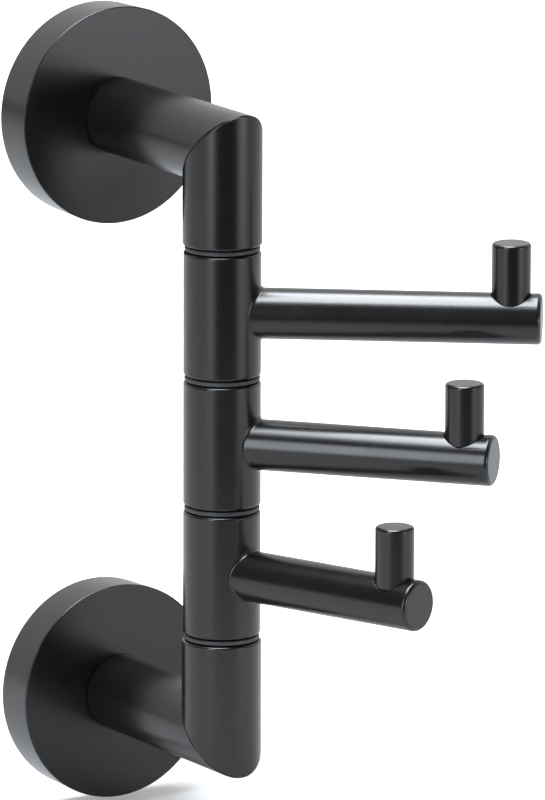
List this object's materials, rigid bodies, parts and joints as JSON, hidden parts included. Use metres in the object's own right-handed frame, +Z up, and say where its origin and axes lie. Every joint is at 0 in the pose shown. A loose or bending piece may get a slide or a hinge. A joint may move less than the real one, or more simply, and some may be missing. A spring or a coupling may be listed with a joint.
{
  "type": "swivelling coat hook rack",
  "caption": "Wall rack with swivelling round coat hooks stacked on an upright spindle between mitred standoffs on round rosettes, in satin black.",
  "frame": {"origin": "centre of the upper wall plate's back face, where it lies on the wall", "axes": "+Z up, +Y into the wall, so the rack stands out towards -Y; at rest the hooks are turned towards +X"},
  "size_m": [0.0921, 0.1177, 0.1995],
  "materials": {
    "black_powder_coat": "satin black powder coat",
    "black_nylon": "matte black nylon",
    "white_acetal": "natural white acetal",
    "stainless_steel": "turned stainless steel",
    "blackened_steel": "blackened steel",
    "cast_zinc": "plain cast zinc"
  },
  "bodies": {
    "wall_rack": {"upper_wall_plate": "cast_zinc", "lower_wall_plate": "cast_zinc", "upper_rosette": "black_powder_coat", "lower_rosette": "black_powder_coat", "upper_rosette_set_screw": "blackened_steel", "lower_rosette_set_screw": "blackened_steel", "upper_standoff": "black_powder_coat", "lower_standoff": "black_powder_coat", "upper_standoff_screw": "blackened_steel", "lower_standoff_screw": "blackened_steel", "upper_end_post": "black_powder_coat", "lower_end_post": "black_powder_coat", "spindle": "stainless_steel", "spindle_lock_screw": "blackened_steel", "top_washer": "black_nylon", "upper_middle_washer": "black_nylon", "lower_middle_washer": "black_nylon", "bottom_washer": "black_nylon"},
    "upper_hook": {"upper_barrel": "black_powder_coat", "upper_barrel_top_bush": "white_acetal", "upper_barrel_bottom_bush": "white_acetal", "upper_arm": "black_powder_coat", "upper_arm_stud": "stainless_steel", "upper_peg": "black_powder_coat"},
    "middle_hook": {"middle_barrel": "black_powder_coat", "middle_barrel_top_bush": "white_acetal", "middle_barrel_bottom_bush": "white_acetal", "middle_arm": "black_powder_coat", "middle_arm_stud": "stainless_steel", "middle_peg": "black_powder_coat"},
    "lower_hook": {"lower_barrel": "black_powder_coat", "lower_barrel_top_bush": "white_acetal", "lower_barrel_bottom_bush": "white_acetal", "lower_arm": "black_powder_coat", "lower_arm_stud": "stainless_steel", "lower_peg": "black_powder_coat"}
  },
  "joints": [
    {"name": "upper_hook_swivel", "type": "hinge", "parent": "wall_rack", "child": "upper_hook", "pos_m": [0, -0.06, -0.04055], "axis": [0, 0, 1], "range_deg": [-185.5, 80.5]},
    {"name": "middle_hook_swivel", "type": "hinge", "parent": "wall_rack", "child": "middle_hook", "pos_m": [0, -0.06, -0.07275], "axis": [0, 0, 1], "range_deg": [-183, 101]},
    {"name": "lower_hook_swivel", "type": "hinge", "parent": "wall_rack", "child": "lower_hook", "pos_m": [0, -0.06, -0.10495], "axis": [0, 0, 1], "range_deg": [-179.8, 138.2]}
  ]
}
